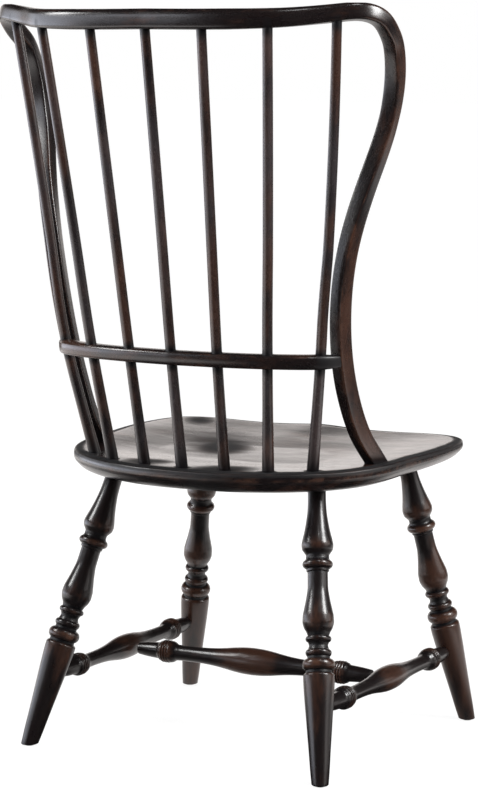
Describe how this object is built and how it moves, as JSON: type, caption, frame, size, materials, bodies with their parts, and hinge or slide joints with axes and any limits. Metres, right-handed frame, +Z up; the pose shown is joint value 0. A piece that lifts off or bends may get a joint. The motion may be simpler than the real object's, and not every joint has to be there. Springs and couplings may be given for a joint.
{
  "type": "spindle side chair",
  "caption": "Wing-back Windsor side chair: saddled plank seat, splayed turned legs with an H stretcher, spindles, a curved mid rail and one bent bow.",
  "frame": {"origin": "on the floor, in the chair's plane of symmetry, midway between the front and the back of its overall box", "axes": "+X to the sitter's left, +Y to the back of the chair, +Z up; the seat front faces -Y"},
  "size_m": [0.6582, 0.5819, 1.1215],
  "materials": {
    "stained_wood": "near-black espresso stain, satin gloss, rubbed through to warm brown on the edges and beads",
    "glide_steel": "dull plated steel"
  },
  "bodies": {
    "root": {"seat": "stained_wood", "bow": "stained_wood", "mid_rail": "stained_wood", "rear_left_leg": "stained_wood", "rear_right_leg": "stained_wood", "front_left_leg": "stained_wood", "front_right_leg": "stained_wood", "left_side_stretcher": "stained_wood", "right_side_stretcher": "stained_wood", "centre_stretcher": "stained_wood", "spindle_1": "stained_wood", "spindle_2": "stained_wood", "spindle_3": "stained_wood", "spindle_4": "stained_wood", "spindle_5": "stained_wood", "spindle_6": "stained_wood", "spindle_7": "stained_wood", "rear_left_glide": "glide_steel", "rear_right_glide": "glide_steel", "front_left_glide": "glide_steel", "front_right_glide": "glide_steel"}
  },
  "joints": []
}
